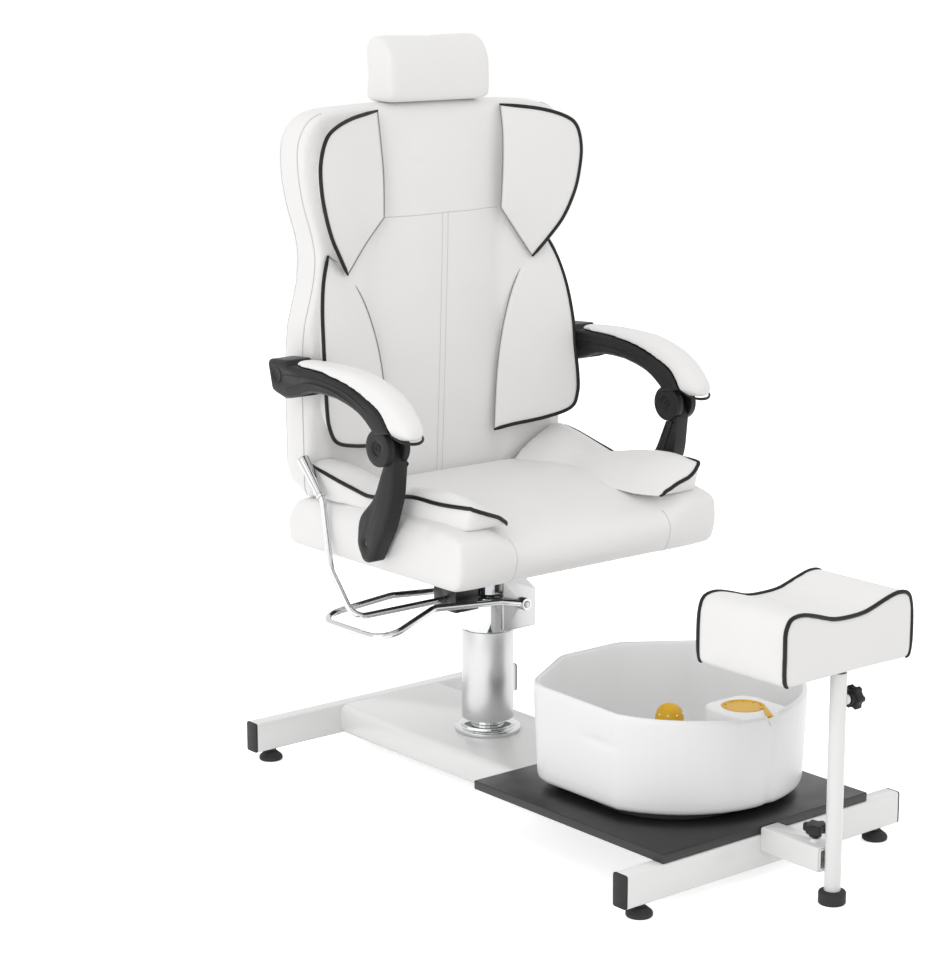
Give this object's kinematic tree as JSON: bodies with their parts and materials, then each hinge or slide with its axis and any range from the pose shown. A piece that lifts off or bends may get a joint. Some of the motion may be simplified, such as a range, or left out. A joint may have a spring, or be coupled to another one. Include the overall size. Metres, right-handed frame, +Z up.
{
  "type": "pedicure chair",
  "caption": "White padded pedicure chair with reclining back, linked armrests, pump-lift swivel column, footboard with a foot basin and an adjustable footrest.",
  "frame": {"origin": "middle of the object's box, on the floor", "axes": "+Z up, -Y the way the occupant faces, +X to the occupant's left"},
  "size_m": [0.696, 1.162, 1.2839],
  "materials": {
    "white_leather": "soft-grained upholstery leather",
    "white_paint": "gloss powder coat",
    "white_plastic": "moulded gloss",
    "black_plastic": "moulded satin",
    "black_board": "black semi-gloss coating",
    "black_steel": "black powder coat",
    "satin_steel": "satin",
    "chrome": "polished",
    "nylon": "natural",
    "plywood": "raw plywood",
    "yellow_plastic": "moulded gloss"
  },
  "bodies": {
    "base": {"base_beam": "white_paint", "front_crossbar": "white_paint", "rear_crossbar": "white_paint", "bar_cap_front_left": "black_plastic", "bar_cap_front_right": "black_plastic", "bar_cap_rear_left": "black_plastic", "bar_cap_rear_right": "black_plastic", "footboard": "black_board", "rail_socket": "white_paint", "column_flange": "chrome", "column_ram": "chrome"},
    "lift": {"column_sleeve": "satin_steel", "sleeve_bush": "nylon"},
    "seat": {"pump_head": "chrome", "lever_bracket": "satin_steel", "mounting_tray": "black_steel", "recline_bracket": "black_steel", "seat_pan": "plywood", "seat_cushion": "white_leather", "thigh_bolster_left": "white_leather", "thigh_bolster_right": "white_leather", "hinge_plate_left": "black_steel", "hinge_plate_right": "black_steel", "arm_pivot_left": "black_steel", "arm_pivot_right": "black_steel"},
    "pump_lever": {"pump_lever": "chrome"},
    "recline_lever": {"recline_lever": "chrome", "recline_grip": "chrome"},
    "back": {"back_cushion": "white_leather", "back_wing_left": "white_leather", "back_wing_right": "white_leather", "lumbar_bolster_left": "white_leather", "lumbar_bolster_right": "white_leather", "back_upright_left": "black_steel", "back_upright_right": "black_steel"},
    "headrest": {"headrest_pillow": "white_leather", "headrest_post_left": "chrome", "headrest_post_right": "chrome"},
    "footrest_carriage": {"footrest_post": "white_paint", "post_foot": "black_plastic"},
    "footrest_head": {"footrest_stem": "satin_steel", "footrest_plate": "black_steel", "footrest_pad": "white_leather"},
    "rail_knob": {"rail_knob": "black_plastic"},
    "post_knob": {"post_knob": "black_plastic"},
    "basin": {"basin": "white_plastic", "basin_base": "black_plastic", "massage_dome": "yellow_plastic"},
    "infuser_lid": {"infuser_lid": "yellow_plastic"},
    "arm_link_left": {"arm_link_left": "black_plastic"},
    "armrest_left": {"armrest_left": "black_plastic", "arm_pad_left": "white_leather"},
    "levelling_foot_front_left": {"levelling_foot_front_left": "black_plastic"},
    "levelling_foot_rear_left": {"levelling_foot_rear_left": "black_plastic"},
    "arm_link_right": {"arm_link_right": "black_plastic"},
    "armrest_right": {"armrest_right": "black_plastic", "arm_pad_right": "white_leather"},
    "levelling_foot_front_right": {"levelling_foot_front_right": "black_plastic"},
    "levelling_foot_rear_right": {"levelling_foot_rear_right": "black_plastic"}
  },
  "joints": [
    {"name": "lift", "type": "slide", "parent": "base", "child": "lift", "axis": [0, 0, 1], "range_m": [0, 0.15]},
    {"name": "swivel", "type": "hinge", "parent": "lift", "child": "seat", "pos_m": [0, 0.26695, 0.262], "axis": [0, 0, 1], "continuous": true},
    {"name": "pump", "type": "hinge", "parent": "seat", "child": "pump_lever", "pos_m": [0.034, 0.26695, 0.31], "axis": [0, -1, 0], "range_deg": [0, 22], "stiffness_Nm_per_rad": 6, "springref_deg": -25.78},
    {"name": "recline_release", "type": "hinge", "parent": "seat", "child": "recline_lever", "pos_m": [-0.18, 0.25695, 0.3313], "axis": [-1, 0, 0], "range_deg": [0, 20], "stiffness_Nm_per_rad": 2, "springref_deg": -25.78},
    {"name": "recline", "type": "hinge", "parent": "seat", "child": "back", "pos_m": [0, 0.42695, 0.4919], "axis": [-1, 0, 0], "range_deg": [0, 40]},
    {"name": "headrest_height", "type": "slide", "parent": "back", "child": "headrest", "axis": [0, 0, 1], "range_m": [0, 0.08]},
    {"name": "footrest_reach", "type": "slide", "parent": "base", "child": "footrest_carriage", "axis": [0, -1, 0], "range_m": [0, 0.08]},
    {"name": "footrest_height", "type": "slide", "parent": "footrest_carriage", "child": "footrest_head", "axis": [0, 0, 1], "range_m": [0, 0.1]},
    {"name": "rail_knob_turn", "type": "hinge", "parent": "base", "child": "rail_knob", "pos_m": [0, -0.51905, 0.095], "axis": [0, 0, 1], "continuous": true},
    {"name": "post_knob_turn", "type": "hinge", "parent": "footrest_carriage", "child": "post_knob", "pos_m": [0.019, -0.55695, 0.321], "axis": [1, 0, 0], "continuous": true},
    {"name": "basin_slide", "type": "slide", "parent": "base", "child": "basin", "axis": [1, 0, 0], "range_m": [-0.12, 0.12]},
    {"name": "infuser_lid_lift", "type": "slide", "parent": "basin", "child": "infuser_lid", "axis": [0, 0, 1], "range_m": [0, 0.03]},
    {"name": "arm_link_left", "type": "hinge", "parent": "seat", "child": "arm_link_left", "pos_m": [0.312, 0.18295, 0.478], "axis": [-1, 0, 0], "range_deg": [0, 53.51]},
    {"name": "armrest_left", "type": "hinge", "parent": "arm_link_left", "child": "armrest_left", "pos_m": [0.318, 0.13495, 0.644], "axis": [-1, 0, 0], "range_deg": [-50.35, 0]},
    {"name": "levelling_foot_front_left_turn", "type": "hinge", "parent": "base", "child": "levelling_foot_front_left", "pos_m": [0.263, -0.40805, 0.011], "axis": [0, 0, 1], "continuous": true},
    {"name": "levelling_foot_rear_left_turn", "type": "hinge", "parent": "base", "child": "levelling_foot_rear_left", "pos_m": [0.263, 0.55995, 0.011], "axis": [0, 0, 1], "continuous": true},
    {"name": "arm_link_right", "type": "hinge", "parent": "seat", "child": "arm_link_right", "pos_m": [-0.312, 0.18295, 0.478], "axis": [-1, 0, 0], "range_deg": [0, 53.51]},
    {"name": "armrest_right", "type": "hinge", "parent": "arm_link_right", "child": "armrest_right", "pos_m": [-0.318, 0.13495, 0.644], "axis": [-1, 0, 0], "range_deg": [-50.35, 0]},
    {"name": "levelling_foot_front_right_turn", "type": "hinge", "parent": "base", "child": "levelling_foot_front_right", "pos_m": [-0.263, -0.40805, 0.011], "axis": [0, 0, 1], "continuous": true},
    {"name": "levelling_foot_rear_right_turn", "type": "hinge", "parent": "base", "child": "levelling_foot_rear_right", "pos_m": [-0.263, 0.55995, 0.011], "axis": [0, 0, 1], "continuous": true}
  ],
  "couplings": [
    {"joint": "arm_link_left", "follows": "recline", "ratio": 1.3378},
    {"joint": "armrest_left", "follows": "recline", "ratio": -1.2587},
    {"joint": "arm_link_right", "follows": "recline", "ratio": 1.3378},
    {"joint": "armrest_right", "follows": "recline", "ratio": -1.2587}
  ]
}
